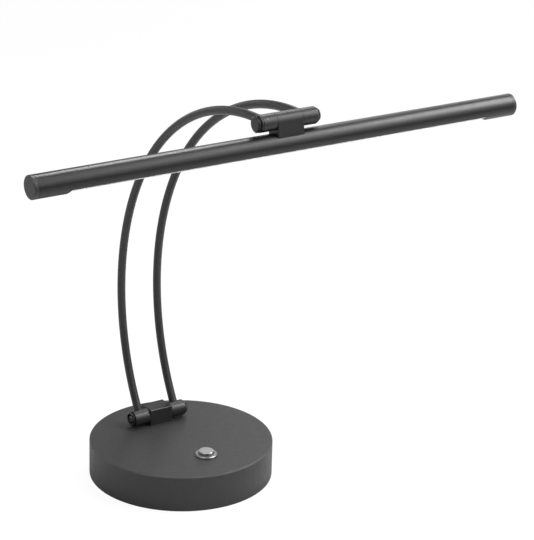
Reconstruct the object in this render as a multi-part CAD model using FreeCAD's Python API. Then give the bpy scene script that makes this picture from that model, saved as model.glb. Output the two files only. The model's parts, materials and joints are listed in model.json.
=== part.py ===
import FreeCAD, Part
import math
import os

# Piano lamp: round weighted base, two bowed arm rods between two friction hinges, LED tube head.
# All sizes in millimetres. +Z is up, +X runs along the tube to the right, the front of the lamp is -Y.
# The origin is the centre of the base pad's underside, which lies on the piano.

Vector = FreeCAD.Vector

# ---- clearances ----
running_fit = 0.05          # radial play of a shaft in its bore
close_fit = 0.10            # radial play of a piece pushed into another and kept there
loose_fit = 0.30            # gap round pieces that are only dropped or slid in
turned_edge = 0.4           # chamfer on the edges of turned pieces
beyond = 1.0                # cutting shapes reach this far past what they cut
tiny = 1e-6

# ---- base housing ----
base_radius = 90.0
base_height = 36.0          # piano to the housing's top
base_edge_radius = 1.5
cover_wall = 2.0
cover_inner_edge = 0.5
cover_lift = 0.8            # piano to the housing's lower edge
pad_thickness = 1.2
pad_margin = 3.4            # pad edge, in from the housing's outside
plate_thickness = 2.0
boss_radius = 5.0
boss_height = 3.0           # bosses under the housing's top, which the weight hangs on
boss_thread_depth = 4.0

# ---- weight ----
weight_thickness = 12.0
weight_side_gap = 1.5
weight_edge_radius = 1.0
weight_circle_radius = 66.0
weight_screw_angles = (35.0, 145.0, 215.0, 325.0)
pillar_circle_radius = 52.0        # pillars that reach down to the base plate
pillar_angles = (45.0, 135.0, 225.0, 315.0)
pillar_radius = 5.0
window_width = 30.0         # opening in the weight under the lower hinge
window_front = 23.0
window_behind = 13.0        # from the lower hinge axis to the window's rear

# ---- screws: thread radius, head radius, head height ----
m4_thread = 2.0
m4_head_radius = 3.6
m4_head_height = 2.2
m3_thread = 1.5
m3_head_radius = 2.6
m3_head_height = 1.6
m2_thread = 1.0
m2_head_radius = 1.9
m2_head_height = 1.1
screw_hole_play = 0.2
screw_sink = 0.2            # a sunk head lies this far below the face around it
head_edge_share = 0.35      # head chamfer to head height
socket_share = 1.2          # hexagon socket across flats to thread radius
socket_depth_share = 0.6    # socket depth to head height
weight_screw_length = 13.0
plate_screw_length = 9.0

# ---- cable grommet in the rear wall ----
grommet_height = 11.0       # piano to the grommet's axis
grommet_bore_radius = 2.6
grommet_neck_radius = 4.9
grommet_flange_radius = 7.0
grommet_flange = 1.8
grommet_inner_flange = 1.5
grommet_inner_radius = 6.5
grommet_edge = 0.5

# ---- push button ----
button_y = -46.0
bezel_flange_radius = 11.0
bezel_flange = 2.0
bezel_edge = 0.8            # chamfer round the flange's outside
bezel_mouth = 0.4           # chamfer where the cap enters
bezel_thread_radius = 9.5
bezel_depth = 14.0          # housing's top to the bezel's lower end
bezel_wall = 2.1
bezel_floor = 2.0
cap_proud = 2.8             # cap's top above the bezel
cap_thickness = 6.3
button_cap_edge = 0.4
stem_radius = 2.4
button_travel = 1.2
spring_wire_radius = 0.35
spring_coil_radius = 4.6
spring_turns = 3.0
nut_thickness = 3.5
nut_across_flats = 23.0
spanner_room = 3.0          # from the nut's flats to the weight
switch_radius = 8.2
switch_height = 9.0
switch_edge = 1.0
terminal_radius = 0.8
terminal_length = 3.0
terminal_spread = 3.0

# ---- driver board ----
board_length = 70.0
board_width = 44.0
board_thickness = 1.6
standoff_height = 4.0
standoff_radius = 2.6
standoff_inset = 4.0        # from the board's edges to the standoff axes
board_screw_spare = 1.0     # what the board screws reach into the base plate
component_air = 2.2         # tallest component to the weight above it
transformer_length = 16.0
transformer_width = 14.0
transformer_x = -18.0
transformer_y = -5.0
converter_length = 16.0
converter_width = 10.0
converter_height = 5.0
converter_x = 15.0
converter_y = -5.0
capacitor_radius = 4.0
capacitor_x = 25.0
capacitor_y = 4.0
terminal_block_length = 14.0
terminal_block_width = 9.0
terminal_block_x = 13.0
terminal_block_inset = 1.0  # from the board's rear edge
terminal_hole_radius = 1.8
terminal_hole_spacing = 7.0
terminal_hole_depth = 5.0

# ---- hinges ----
axle_radius = 4.0
axle_bore_radius = 2.1
barrel_radius = 7.8
barrel_inner_edge = 0.2     # chamfer beside the friction washers and the tension nut
washer_thickness = 0.3
washer_step = 0.15          # the friction washers stay this far inside the barrels' surface
end_screw_length = 5.8
end_rim_radius = 7.5        # conical rim at a barrel's end, at its widest
end_face_radius = 6.0       # and where it meets the end face
end_neck_radius = 6.2       # groove behind the rim
recess_radius = 5.2
recess_depth = 2.9
recess_edge = 0.3
barrel_web = 1.4            # wall between the axle bore and the screw recess
spring_washer_thickness = 0.4
spring_washer_rise = 0.3
grub_sink = 0.15            # grub screw's end below the barrel's surface
grub_socket_share = 1.0     # its hexagon socket across flats to its thread radius
grub_socket_depth = 1.0
grub_offset = 1.9           # rod's axis to the upper grub screws, outwards
lower_grub_angle = -10.0    # from straight back, upwards
upper_left_grub_angle = 138.0
upper_right_grub_angle = -95.0
axle_end_gap = 0.2          # axle end to the wall that closes its barrel
spring_side_play = 0.4      # radial room round the dished washers

lower_axis_y = 45.0
barrel_lift = 0.9           # lower barrels above the housing's top
lower_block_width = 24.6
lower_block_front = 7.6     # hinge axis to the block's front
lower_block_rear = 11.0
lower_block_height = 16.6
lower_block_chamfer = 0.5
lower_neck_reach = 8.8      # rod's axis to the groove in the lower left barrel
lower_rim_reach = 10.4      # and to the rim behind it
lower_end_reach = 11.2      # rod's axis to the hinge's outer end on both sides
lower_taper = 3.2           # length of the lower right barrel's conical end
lower_face_radius = 5.8
hinge_screw_spacing = 10.0
hinge_screw_behind = 7.3    # hinge axis to the two screws that hold the lower block
hinge_screw_length = 12.0
block_seam_x = 8.3
block_seam = 0.4

upper_axis_y = -163.2
upper_axis_z = 404.0
upper_block_width = 26.4
upper_end_reach = 12.1      # rod's axis to the hinge's outer end on both sides
upper_taper = 3.5           # length of the upper right barrel's conical end
upper_face_radius = 5.8
left_barrel_reach = 7.0     # rod's axis to the end of the upper left barrel
tension_nut_gap = 0.2
tension_neck_reach = 8.8    # rod's axis to the tension nut's neck
tension_rim_reach = 11.1    # and to its rim
tension_floor = 1.2
disc_spring_count = 3
spring_pocket_radius = 6.0

# ---- arm rods ----
rod_radius = 4.0
rod_wall = 1.0
rod_bow_radius = 233.0      # radius of the arc that both rods follow
rod_x = 20.4                # lamp's middle to each rod's axis
rod_end_gap = 0.3           # rod end to the axle

# ---- leads ----
lead_radius = 1.2
lead_bend = 4.0
lead_play = 0.5             # room round a lead in the holes it passes
bend_share = 0.45           # how much of a run between two bends each bend may take
switch_lead_radius = 0.8
switch_lead_inset = 6.0     # from the board's front edge to where the two leads are soldered
switch_lead_rise = 3.5      # their height over the board
switch_lead_reach = 3.0     # how far they run level past the board
switch_lead_turn = 9.5      # behind the terminals, where they turn down to them
base_lead_inset = 3.0       # from the board's rear edge to where the lead is soldered
base_lead_drop = 3.0        # its first bend, below the weight

# ---- lamp head, in its own frame: hinge axis at the origin, tube straight below it ----
head_tilt = 7.4             # the tube hangs this many degrees forward of straight down
head_turn_back = 40.0       # degrees that the head turns towards the rods
head_turn_forward = 60.0    # degrees that it turns the other way
tube_drop = 20.6            # hinge axis to tube axis
tube_radius = 10.3
tube_wall = 1.3
tube_edge = 0.2
lamp_length = 500.0
cap_flange = 3.6
cap_edge = 0.5
cap_groove_at = 1.8
cap_groove = 0.35
flat_depth = 6.3            # tube axis to the flat underside
round_end = 30.5            # length at each end where the tube is fully round
ramp_angle = 45.0
ramp_fillet = 1.5
clamp_bar_flat = 6.5        # tube axis to the flat of the clamp bar
clamp_bar_length = 25.0
saddle_screw_spacing = 18.0
saddle_screw_length = 9.0
saddle_screw_room = 0.5     # hole past the screw's end
carrier_top = 1.0           # tube axis down to the carrier's plate
carrier_thickness = 2.0
carrier_half_width = 8.3
carrier_rib_inner = 4.5
carrier_rib_outer = 6.0
carrier_rib_top = 6.5
carrier_gap_half = 18.0     # the ribs stop here to pass the clamp bar
led_board_thickness = 1.0
led_board_half_width = 6.0
led_pitch = 10.0
led_size = 3.0
led_height = 0.7
led_screw_inset = 3         # LED pitches from each end of the row to the outer board screws
diffuser_wall = 1.2
diffuser_half_width = 7.6
diffuser_rise = 2.2         # how far the opal strip bows out of the flat
diffuser_neck_half = 6.2
diffuser_hook_half = 7.1
diffuser_hook_low = 5.2
diffuser_top_gap = 0.3

# ---- places worked out from the sizes above ----
cover_inside = base_radius - cover_wall
cover_ceiling = base_height - cover_wall
plate_top = pad_thickness + plate_thickness
weight_top = cover_ceiling - boss_height
weight_bottom = weight_top - weight_thickness
board_bottom = plate_top + standoff_height
board_top = board_bottom + board_thickness
component_height = weight_bottom - component_air - board_top
switch_low = base_height - bezel_depth - switch_height - terminal_length
lower_axis_z = base_height + barrel_lift + barrel_radius
lower_half = lower_block_width / 2
hinge_screw_places = (-hinge_screw_spacing / 2, hinge_screw_spacing / 2)
saddle_screw_places = (-saddle_screw_spacing / 2, saddle_screw_spacing / 2)
upper_half = upper_block_width / 2
lower_barrel_end = rod_x + lower_end_reach
upper_barrel_end = rod_x + upper_end_reach
left_barrel_end = rod_x + left_barrel_reach
spring_pitch = spring_washer_thickness + spring_washer_rise
spring_pocket_floor = left_barrel_end - disc_spring_count * spring_pitch
grub_x = rod_x + grub_offset
tube_half = lamp_length / 2 - cap_flange
tube_bore = tube_radius - tube_wall
ramp_drop = tube_radius - flat_depth
ramp_run = ramp_drop / math.tan(math.radians(ramp_angle))
flat_half = lamp_length / 2 - round_end - ramp_run
carrier_bottom = carrier_top + carrier_thickness
led_board_bottom = carrier_bottom + led_board_thickness
plug_end = flat_half - ramp_fillet * math.tan(math.radians(ramp_angle / 2))
strip_half = plug_end - loose_fit
led_half_count = int(strip_half / led_pitch)
led_screw_far = (led_half_count - led_screw_inset) * led_pitch
led_screw_near = round((led_half_count - led_screw_inset) / 3) * led_pitch
led_screw_places = (-led_screw_far, -led_screw_near, led_screw_near, led_screw_far)

# The rods follow one arc through both hinge axes, bowed up and back.
chord_y = upper_axis_y - lower_axis_y
chord_z = upper_axis_z - lower_axis_z
chord = math.hypot(chord_y, chord_z)
arc_offset = math.sqrt(rod_bow_radius ** 2 - (chord / 2) ** 2)
arc_y = (lower_axis_y + upper_axis_y) / 2 - arc_offset * chord_z / chord
arc_z = (lower_axis_z + upper_axis_z) / 2 + arc_offset * chord_y / chord
lower_angle = math.atan2(lower_axis_z - arc_z, lower_axis_y - arc_y)
upper_angle = math.atan2(upper_axis_z - arc_z, upper_axis_y - arc_y)

parts = {}


# ---- small helpers ----
def disc(radius, height, base, axis=(0, 0, 1)):
    return Part.makeCylinder(radius, height, Vector(*base), Vector(*axis))


def block(low, high):
    size = [b - a for a, b in zip(low, high)]
    return Part.makeBox(size[0], size[1], size[2], Vector(*low))


def polar(radius, degrees):
    return radius * math.cos(math.radians(degrees)), radius * math.sin(math.radians(degrees))


def turned_z(profile):
    """Solid of revolution about Z from (radius, height) corners."""
    points = [Vector(r, 0, z) for r, z in profile]
    face = Part.Face(Part.makePolygon(points + points[:1]))
    return face.revolve(Vector(0, 0, 0), Vector(0, 0, 1), 360)


def turned_x(profile):
    """Solid of revolution about X from (place along X, radius) corners."""
    points = [Vector(x, 0, r) for x, r in profile]
    face = Part.Face(Part.makePolygon(points + points[:1]))
    return face.revolve(Vector(0, 0, 0), Vector(1, 0, 0), 360)


def washer_x(start, thickness, outer, inner):
    end = start + thickness
    return turned_x([(start, inner), (end, inner), (end, outer), (start, outer)])


def mirrored(shape):
    return shape.mirror(Vector(0, 0, 0), Vector(1, 0, 0))


def moved(shape, x, y, z):
    return shape.translated(Vector(x, y, z))


def aimed(shape, point, direction):
    """Turn a shape built along +Z to a direction and carry it to a point."""
    turn = FreeCAD.Rotation(Vector(0, 0, 1), Vector(*direction))
    copy = shape.copy()
    copy.Placement = FreeCAD.Placement(Vector(*point), turn)
    return copy


def group(shapes):
    return Part.makeCompound(shapes)


def hexagon(across_flats, height, base_z):
    corner = across_flats / 2 / math.cos(math.radians(30))
    points = [Vector(*polar(corner, 60 * i), base_z) for i in range(7)]
    return Part.Face(Part.makePolygon(points)).extrude(Vector(0, 0, height))


def pan_screw(thread, head_radius, head_height, length):
    """Screw along +Z: its head starts at z = 0 and stands up, its thread hangs down."""
    edge = head_height * head_edge_share
    depth = head_height * socket_depth_share
    head = turned_z([(0, 0), (head_radius, 0), (head_radius, head_height - edge),
                     (head_radius - edge, head_height), (0, head_height)])
    screw = head.fuse(disc(thread, length, (0, 0, -length))).removeSplitter()
    return screw.cut(hexagon(thread * socket_share, depth, head_height - depth))


def flat_screw(thread, head_radius, length):
    """Countersunk screw along +Z with its face at z = 0."""
    cone = head_radius - thread
    depth = cone * socket_depth_share
    screw = turned_z([(0, 0), (head_radius, 0), (thread, -cone), (thread, -length), (0, -length)])
    return screw.cut(hexagon(thread * socket_share, depth, -depth))


def lead(points, radius):
    """Insulated wire along straight runs and tangent arcs. A bend may use all of a first or last run."""
    path = [Vector(*p) for p in points]
    edges = []
    here = path[0]
    for i in range(1, len(path) - 1):
        corner = path[i]
        run_in = corner - path[i - 1]
        run_out = path[i + 1] - corner
        reach = min(run_in.Length * (1 if i == 1 else bend_share),
                    run_out.Length * (1 if i == len(path) - 2 else bend_share))
        run_in.normalize()
        run_out.normalize()
        half_turn = run_in.getAngle(run_out) / 2
        bend = reach / math.tan(half_turn)
        start = corner - run_in * reach
        end = corner + run_out * reach
        inward = (run_out - run_in).normalize()
        middle = corner + inward * (bend / math.cos(half_turn) - bend)
        if (start - here).Length > tiny:
            edges.append(Part.makeLine(here, start))
        edges.append(Part.Arc(start, middle, end).toShape())
        here = end
    if (path[-1] - here).Length > tiny:
        edges.append(Part.makeLine(here, path[-1]))
    return swept(edges, radius)


def swept(edges, radius):
    """Round bar along a chain of tangent edges."""
    wire = Part.Wire(edges)
    first = wire.Edges[0]
    start = first.valueAt(first.FirstParameter)
    along = first.tangentAt(first.FirstParameter)
    section = Part.Wire(Part.makeCircle(radius, start, along))
    return wire.makePipeShell([section], True, True)


def arc_point(angle, x):
    return Vector(x, arc_y + rod_bow_radius * math.cos(angle), arc_z + rod_bow_radius * math.sin(angle))


def arc_tangent(angle):
    return Vector(0, -math.sin(angle), math.cos(angle))


def bow(radius, x, start_gap, end_gap):
    """Round bar along the rods' arc, stopping short of each hinge axis by the gaps."""
    start = lower_angle + start_gap / rod_bow_radius
    end = upper_angle - end_gap / rod_bow_radius
    ring = Part.makeCircle(radius, arc_point(start, x), arc_tangent(start))
    face = Part.Face(Part.Wire(ring))
    return face.revolve(Vector(0, arc_y, arc_z), Vector(1, 0, 0), math.degrees(end - start))


# ---- base ----
def base_cover():
    r = base_edge_radius
    bend = r * math.sin(math.radians(45))
    edge_x = base_radius - r
    edge_z = base_height - r
    inner_z = cover_ceiling - cover_inner_edge
    inner_x = cover_inside - cover_inner_edge
    rounding = Part.Arc(Vector(edge_x, 0, base_height), Vector(edge_x + bend, 0, edge_z + bend),
                        Vector(base_radius, 0, edge_z)).toShape()
    rest = Part.makePolygon([Vector(base_radius, 0, edge_z), Vector(base_radius, 0, cover_lift),
                             Vector(cover_inside, 0, cover_lift), Vector(cover_inside, 0, inner_z),
                             Vector(inner_x, 0, cover_ceiling), Vector(0, 0, cover_ceiling),
                             Vector(0, 0, base_height), Vector(edge_x, 0, base_height)])
    outline = [rounding] + rest.Edges
    cover = Part.Face(Part.Wire(outline)).revolve(Vector(0, 0, 0), Vector(0, 0, 1), 360)
    for angle in weight_screw_angles:
        x, y = polar(weight_circle_radius, angle)
        cover = cover.fuse(disc(boss_radius, boss_height, (x, y, weight_top)))
    cuts = []
    for angle in weight_screw_angles:
        x, y = polar(weight_circle_radius, angle)
        cuts.append(disc(m4_thread + close_fit, boss_thread_depth, (x, y, weight_top)))
    top_low = cover_ceiling - beyond
    through = cover_wall + 2 * beyond
    cuts.append(disc(bezel_thread_radius + close_fit, through, (0, button_y, top_low)))
    for x in hinge_screw_places:
        cuts.append(disc(m4_thread + screw_hole_play, through,
                         (x, lower_axis_y + hinge_screw_behind, top_low)))
    cuts.append(disc(lead_radius + lead_play, through, (-lead_bend, lower_axis_y, top_low)))
    cuts.append(disc(grommet_neck_radius + close_fit, 2 * through,
                     (0, base_radius + beyond - 2 * through, grommet_height), (0, 1, 0)))
    return cover.removeSplitter().cut(group(cuts))


def base_weight():
    radius = cover_inside - weight_side_gap
    edge = weight_edge_radius
    weight = turned_z([(0, weight_bottom), (radius - edge, weight_bottom), (radius, weight_bottom + edge),
                       (radius, weight_top - edge), (radius - edge, weight_top), (0, weight_top)])
    for angle in pillar_angles:
        x, y = polar(pillar_circle_radius, angle)
        weight = weight.fuse(disc(pillar_radius, weight_bottom - plate_top, (x, y, plate_top)))
    low = weight_bottom - beyond
    high = weight_top + beyond
    cuts = [block((-window_width / 2, window_front, low),
                  (window_width / 2, lower_axis_y + window_behind, high)),
            disc(nut_across_flats / 2 + spanner_room, high - low, (0, button_y, low))]
    for angle in weight_screw_angles:
        x, y = polar(weight_circle_radius, angle)
        cuts.append(disc(m4_thread + screw_hole_play, high - low, (x, y, low)))
        cuts.append(disc(m4_head_radius + loose_fit, m4_head_height + screw_sink, (x, y, weight_bottom)))
    for angle in pillar_angles:
        x, y = polar(pillar_circle_radius, angle)
        cuts.append(disc(m4_thread + close_fit, plate_screw_length, (x, y, plate_top)))
    return weight.removeSplitter().cut(group(cuts))


def weight_screws():
    screw = pan_screw(m4_thread, m4_head_radius, m4_head_height, weight_screw_length)
    seat = weight_bottom + m4_head_height + screw_sink
    places = [polar(weight_circle_radius, angle) for angle in weight_screw_angles]
    return group([aimed(screw, (x, y, seat), (0, 0, -1)) for x, y in places])


def plate_screw_places():
    return [(*polar(pillar_circle_radius, angle), pad_thickness) for angle in pillar_angles]


def base_plate():
    plate = disc(cover_inside - loose_fit, plate_thickness, (0, 0, pad_thickness))
    cone = turned_z([(0, 0), (m4_head_radius + close_fit, 0),
                     (m4_thread + screw_hole_play, -plate_thickness), (0, -plate_thickness)])
    cuts = [aimed(cone, place, (0, 0, -1)) for place in plate_screw_places()]
    for x, y in standoff_places():
        cuts.append(disc(m3_thread + close_fit, plate_thickness, (x, y, pad_thickness)))
    return plate.cut(group(cuts))


def base_plate_screws():
    screw = flat_screw(m4_thread, m4_head_radius, plate_screw_length)
    return group([aimed(screw, place, (0, 0, -1)) for place in plate_screw_places()])


def base_pad():
    return disc(base_radius - pad_margin, pad_thickness, (0, 0, 0))


def cable_grommet():
    wall_out = base_radius
    wall_in = math.sqrt(cover_inside ** 2 - grommet_inner_radius ** 2)
    inner_end = wall_in - grommet_inner_flange
    outer_end = wall_out + grommet_flange
    outer_edge = grommet_flange / 2
    profile = [(grommet_bore_radius, inner_end), (grommet_inner_radius - grommet_edge, inner_end),
               (grommet_inner_radius, inner_end + grommet_edge), (grommet_inner_radius, wall_in),
               (grommet_neck_radius, wall_in), (grommet_neck_radius, wall_out),
               (grommet_flange_radius, wall_out), (grommet_flange_radius, outer_end - outer_edge),
               (grommet_flange_radius - outer_edge, outer_end), (grommet_bore_radius, outer_end)]
    return aimed(turned_z(profile), (0, 0, grommet_height), (0, 1, 0))


# ---- push button ----
def button_bezel():
    top = base_height + bezel_flange
    low = base_height - bezel_depth
    bore = bezel_thread_radius - bezel_wall
    stem_bore = stem_radius + running_fit
    profile = [(stem_bore, low), (bezel_thread_radius, low), (bezel_thread_radius, base_height),
               (bezel_flange_radius, base_height), (bezel_flange_radius, top - bezel_edge),
               (bezel_flange_radius - bezel_edge, top), (bore + bezel_mouth, top), (bore, top - bezel_mouth),
               (bore, low + bezel_floor), (stem_bore, low + bezel_floor)]
    return moved(turned_z(profile), 0, button_y, 0)


def button_cap():
    top = base_height + bezel_flange + cap_proud
    under = top - cap_thickness
    radius = bezel_thread_radius - bezel_wall - running_fit
    low = base_height - bezel_depth + button_travel + loose_fit
    profile = [(0, low), (stem_radius, low), (stem_radius, under), (radius, under),
               (radius, top - button_cap_edge), (radius - button_cap_edge, top), (0, top)]
    return moved(turned_z(profile), 0, button_y, 0)


def button_spring():
    floor = base_height - bezel_depth + bezel_floor
    under = base_height + bezel_flange + cap_proud - cap_thickness
    rise = under - floor - 2 * spring_wire_radius
    helix = Part.makeHelix(rise / spring_turns, rise, spring_coil_radius)
    start = Vector(spring_coil_radius, 0, 0)
    section = Part.Wire(Part.makeCircle(spring_wire_radius, start, Vector(0, 1, 0)))
    coil = Part.Wire(helix.Edges).makePipeShell([section], True, True)
    return moved(coil, 0, button_y, floor + spring_wire_radius)


def button_nut():
    nut = hexagon(nut_across_flats, nut_thickness, cover_ceiling - nut_thickness)
    bore = disc(bezel_thread_radius + running_fit, nut_thickness, (0, 0, cover_ceiling - nut_thickness))
    return moved(nut.cut(bore), 0, button_y, 0)


def switch_housing():
    top = base_height - bezel_depth
    bottom = top - switch_height
    body = turned_z([(0, bottom), (switch_radius - switch_edge, bottom),
                     (switch_radius, bottom + switch_edge), (switch_radius, top), (0, top)])
    for x in (-terminal_spread, terminal_spread):
        body = body.fuse(disc(terminal_radius, terminal_length, (x, 0, switch_low)))
    return moved(body.removeSplitter(), 0, button_y, 0)


def switch_leads():
    front = -board_width / 2
    solder_y = front + switch_lead_inset
    over_board = board_top + switch_lead_rise
    under = (plate_top + switch_low) / 2
    wires = []
    for x in (-terminal_spread, terminal_spread):
        points = [(x, solder_y, board_top), (x, solder_y, over_board),
                  (x, front - switch_lead_reach, over_board), (x, button_y + switch_lead_turn, under),
                  (x, button_y, under), (x, button_y, switch_low)]
        wires.append(lead(points, switch_lead_radius))
    return group(wires)


# ---- driver board ----
def standoff_places():
    x = board_length / 2 - standoff_inset
    y = board_width / 2 - standoff_inset
    return [(sx * x, sy * y) for sx in (-1, 1) for sy in (-1, 1)]


def on_board(x, y, length, width, height):
    """Plain block that stands on the board with its middle at x, y."""
    return block((x - length / 2, y - width / 2, board_top),
                 (x + length / 2, y + width / 2, board_top + height))


def driver_board():
    half_length = board_length / 2
    half_width = board_width / 2
    terminal_rear = half_width - terminal_block_inset
    terminal_y = terminal_rear - terminal_block_width / 2
    board = block((-half_length, -half_width, board_bottom), (half_length, half_width, board_top))
    pieces = [on_board(transformer_x, transformer_y, transformer_length, transformer_width, component_height),
              on_board(converter_x, converter_y, converter_length, converter_width, converter_height),
              on_board(terminal_block_x, terminal_y, terminal_block_length, terminal_block_width,
                       component_height),
              disc(capacitor_radius, component_height, (capacitor_x, capacitor_y, board_top))]
    for piece in pieces:
        board = board.fuse(piece)
    cuts = [disc(m3_thread + screw_hole_play, board_thickness, (x, y, board_bottom))
            for x, y in standoff_places()]
    for side in (-1, 1):
        cuts.append(disc(terminal_hole_radius, terminal_hole_depth + beyond,
                         (terminal_block_x + side * terminal_hole_spacing / 2,
                          terminal_rear - terminal_hole_depth, board_top + component_height / 2), (0, 1, 0)))
    return board.removeSplitter().cut(group(cuts))


def board_standoffs():
    posts = []
    for x, y in standoff_places():
        post = disc(standoff_radius, standoff_height, (x, y, plate_top))
        posts.append(post.cut(disc(m3_thread + close_fit, standoff_height, (x, y, plate_top))))
    return group(posts)


def board_screws():
    length = board_thickness + standoff_height + board_screw_spare
    screw = pan_screw(m3_thread, m3_head_radius, m3_head_height, length)
    return group([moved(screw, x, y, board_top) for x, y in standoff_places()])


def base_lead():
    x = -lead_bend
    y = board_width / 2 - base_lead_inset
    points = [(x, y, board_top), (x, y, weight_bottom - base_lead_drop),
              (x, lower_axis_y, (weight_bottom + weight_top) / 2), (x, lower_axis_y, lower_axis_z),
              (0, lower_axis_y, lower_axis_z)]
    return lead(points, lead_radius)


# ---- lower hinge ----
def at_lower(shape):
    return moved(shape, 0, lower_axis_y, lower_axis_z)


def lower_hinge_block():
    front = lower_axis_y - lower_block_front
    rear = lower_axis_y + lower_block_rear
    top = base_height + lower_block_height
    body = block((-lower_half, front, base_height), (lower_half, rear, top))
    upper_edges = [e for e in body.Edges if e.BoundBox.ZMin > (base_height + top) / 2]
    body = body.makeChamfer(lower_block_chamfer, upper_edges)
    seam_end = block_seam_x + block_seam
    seam_front = block((block_seam_x, front - beyond, base_height - beyond),
                       (seam_end, front + block_seam, top + beyond))
    seam_top = block((block_seam_x, front - beyond, top - block_seam),
                     (seam_end, rear + beyond, top + beyond))
    cuts = [disc(axle_radius + running_fit, lower_block_width + 2 * beyond,
                 (-lower_half - beyond, lower_axis_y, lower_axis_z), (1, 0, 0)),
            disc(lead_radius + lead_play, lower_axis_z - base_height,
                 (-lead_bend, lower_axis_y, base_height)),
            seam_front.fuse(seam_top)]
    for x in hinge_screw_places:
        cuts.append(disc(m4_thread + close_fit, hinge_screw_length,
                         (x, lower_axis_y + hinge_screw_behind, base_height)))
    return body.cut(group(cuts))


def lower_hinge_screws():
    screw = pan_screw(m4_thread, m4_head_radius, m4_head_height, hinge_screw_length)
    y = lower_axis_y + hinge_screw_behind
    return group([aimed(screw, (x, y, cover_ceiling), (0, 0, -1)) for x in hinge_screw_places])


def axle(left_end, right_end, open_angle):
    """Hollow axle along X with a mouth in its middle for the lead, turned open_angle from straight down."""
    shoulder = axle_radius - turned_edge
    bar = turned_x([(-left_end, axle_bore_radius), (right_end, axle_bore_radius),
                    (right_end, shoulder), (right_end - turned_edge, axle_radius),
                    (-left_end + turned_edge, axle_radius), (-left_end, shoulder)])
    mouth_left = -lead_bend - lead_radius - lead_play
    outside = axle_radius + beyond
    mouth = block((mouth_left, -outside, -outside), (0, outside, 0))
    mouth.rotate(Vector(0, 0, 0), Vector(1, 0, 0), open_angle)
    return bar.cut(mouth)


def lead_slot(angle, way):
    """Slot in an axle through which the lead turns into the right rod."""
    width = 2 * (lead_radius + lead_play / 2)
    slot = block((rod_x - lead_bend - lead_play, -width / 2, 0),
                 (rod_x + width / 2, width / 2, axle_radius + beyond))
    along = arc_tangent(angle) * way
    slot.rotate(Vector(0, 0, 0), Vector(1, 0, 0), -math.degrees(math.atan2(along.y, along.z)))
    return slot


def rim_corners(neck_start, rim_start, end):
    """Outside of a turned piece near its right end: edge, groove and conical rim."""
    return [(neck_start - turned_edge, barrel_radius), (neck_start, barrel_radius - turned_edge),
            (neck_start, end_neck_radius), (rim_start, end_neck_radius), (rim_start, end_rim_radius),
            (end, end_face_radius)]


def end_barrel(start, end, end_corners):
    """Right-hand barrel about the X axis: axle bore inside, recess for the end screw outside."""
    bore = axle_radius + running_fit
    screw_bore = m4_thread + screw_hole_play
    recess_floor = end - recess_depth
    web_end = recess_floor - barrel_web
    inner_corners = [(start, bore), (start, barrel_radius - barrel_inner_edge),
                     (start + barrel_inner_edge, barrel_radius)]
    recess_corners = [(end, recess_radius + recess_edge), (end - recess_edge, recess_radius),
                      (recess_floor, recess_radius), (recess_floor, screw_bore), (web_end, screw_bore),
                      (web_end, bore)]
    return turned_x(inner_corners + end_corners + recess_corners)


def grub_place(angle):
    return (0, math.cos(math.radians(angle)), math.sin(math.radians(angle)))


def grub(x, angle, thread):
    """Grub screw through a barrel's wall onto the axle, at an angle from the rear upwards."""
    length = barrel_radius - grub_sink - axle_radius - running_fit
    pin = disc(thread, length, (0, 0, 0))
    pin = pin.cut(hexagon(thread * grub_socket_share, grub_socket_depth, length - grub_socket_depth))
    reach = axle_radius + running_fit
    way = grub_place(angle)
    return aimed(pin, (x, way[1] * reach, way[2] * reach), way)


def grub_hole(x, angle, thread):
    way = grub_place(angle)
    return aimed(disc(thread + close_fit, barrel_radius + beyond, (0, 0, 0)), (x, 0, 0), way)


def axle_end(barrel_end):
    return barrel_end - recess_depth - barrel_web - axle_end_gap


def end_screw(barrel_end):
    """Screw that closes a right-hand barrel, with its dished spring washer's room under the head."""
    screw = pan_screw(m4_thread, m4_head_radius, m4_head_height, end_screw_length)
    seat = barrel_end - recess_depth + spring_washer_thickness + spring_washer_rise
    return aimed(screw, (seat, 0, 0), (1, 0, 0))


def dished_washer(start, outer, inner, way):
    """Conical spring washer on the X axis. way is +1 when its rim lies at the start."""
    rise = spring_washer_rise
    t = spring_washer_thickness
    near = 0 if way > 0 else rise
    far = rise - near
    return turned_x([(start + far, inner), (start + far + t, inner), (start + near + t, outer),
                     (start + near, outer)])


def friction_washers(block_half):
    """Flat washers on both sides of a hinge block, on the X axis."""
    washer = washer_x(block_half, washer_thickness, barrel_radius - washer_step, axle_radius + running_fit)
    return group([washer, mirrored(washer)])


def lower_sockets(barrel, x):
    cutter = moved(bow(rod_radius + close_fit, x, 0, 0), 0, -lower_axis_y, -lower_axis_z)
    return barrel.cut(cutter).cut(grub_hole(x, lower_grub_angle, m3_thread))


def upper_sockets(barrel, x, grub_at, grub_angle):
    cutter = moved(bow(rod_radius + close_fit, x, 0, 0), 0, -upper_axis_y, -upper_axis_z)
    return barrel.cut(cutter).cut(grub_hole(grub_at, grub_angle, m2_thread))


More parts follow.
